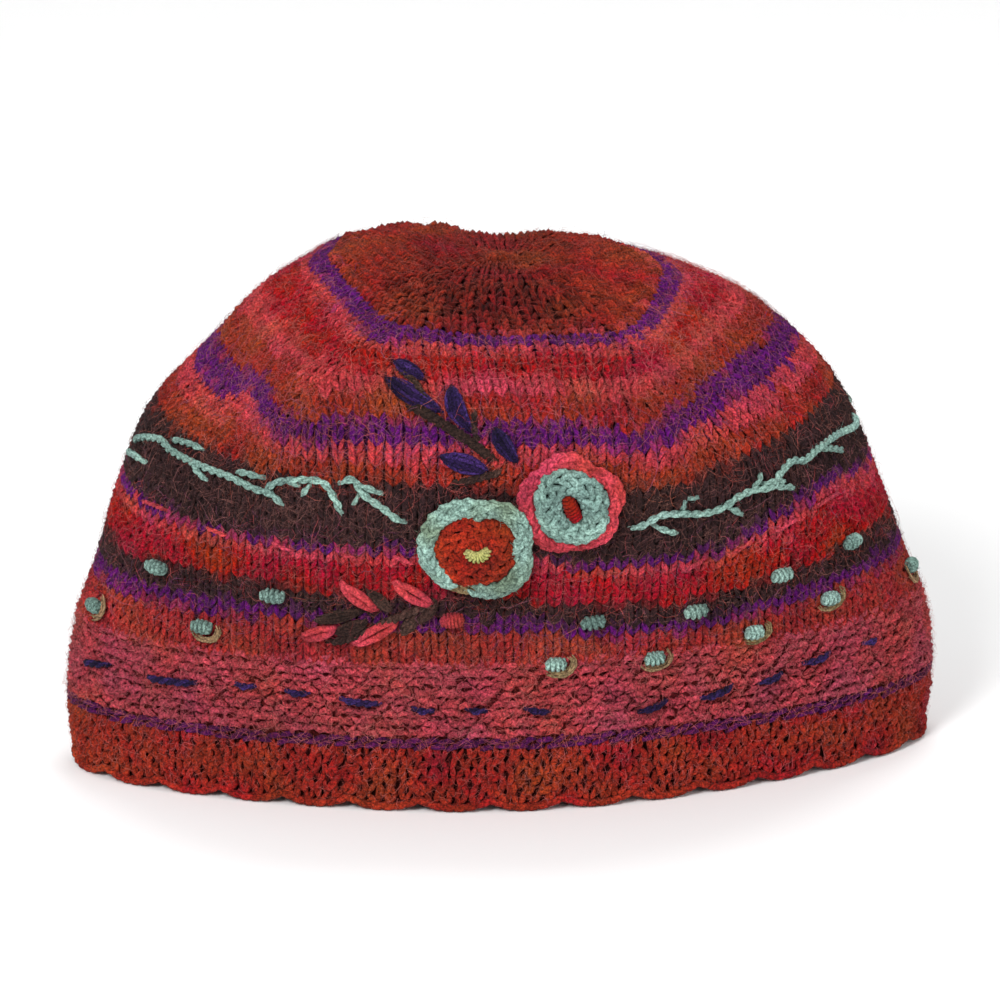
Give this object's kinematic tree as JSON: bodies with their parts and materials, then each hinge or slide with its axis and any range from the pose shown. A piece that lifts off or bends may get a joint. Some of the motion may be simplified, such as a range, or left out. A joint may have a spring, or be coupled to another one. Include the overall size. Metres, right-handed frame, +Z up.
{
  "type": "knitted beanie",
  "caption": "Soft hand-knit wool beanie with a six-sided crown, striped wall, bumpy band, scalloped crochet hem and crocheted roses on the front.",
  "frame": {"origin": "middle of the footprint box, on the surface that the rim rests on", "axes": "+X along the wide way from fold to fold, -Y towards the front with the roses, +Z up"},
  "size_m": [0.2432, 0.1576, 0.1463],
  "materials": {
    "hem_wool": "matte, crocheted rust wool",
    "band_wool": "matte, bumpy coral wool",
    "striped_wool": "matte, striped space-dyed wool",
    "crown_wool": "matte, rust wool",
    "mint_wool": "matte, crocheted mint wool",
    "orange_wool": "matte, crocheted orange-rust wool",
    "yellow_wool": "matte, wrapped pale yellow wool",
    "coral_wool": "matte, crocheted coral wool",
    "crimson_wool": "matte, wrapped crimson wool"
  },
  "bodies": {
    "root": {"hem_edging": "hem_wool", "stitch_band": "band_wool", "side_wall": "striped_wool", "crown": "crown_wool", "left_rose_petals": "mint_wool", "left_rose_rosette": "orange_wool", "left_rose_knot": "yellow_wool", "right_rose_frill": "coral_wool", "right_rose_petals": "mint_wool", "right_rose_knot": "crimson_wool"}
  },
  "joints": []
}
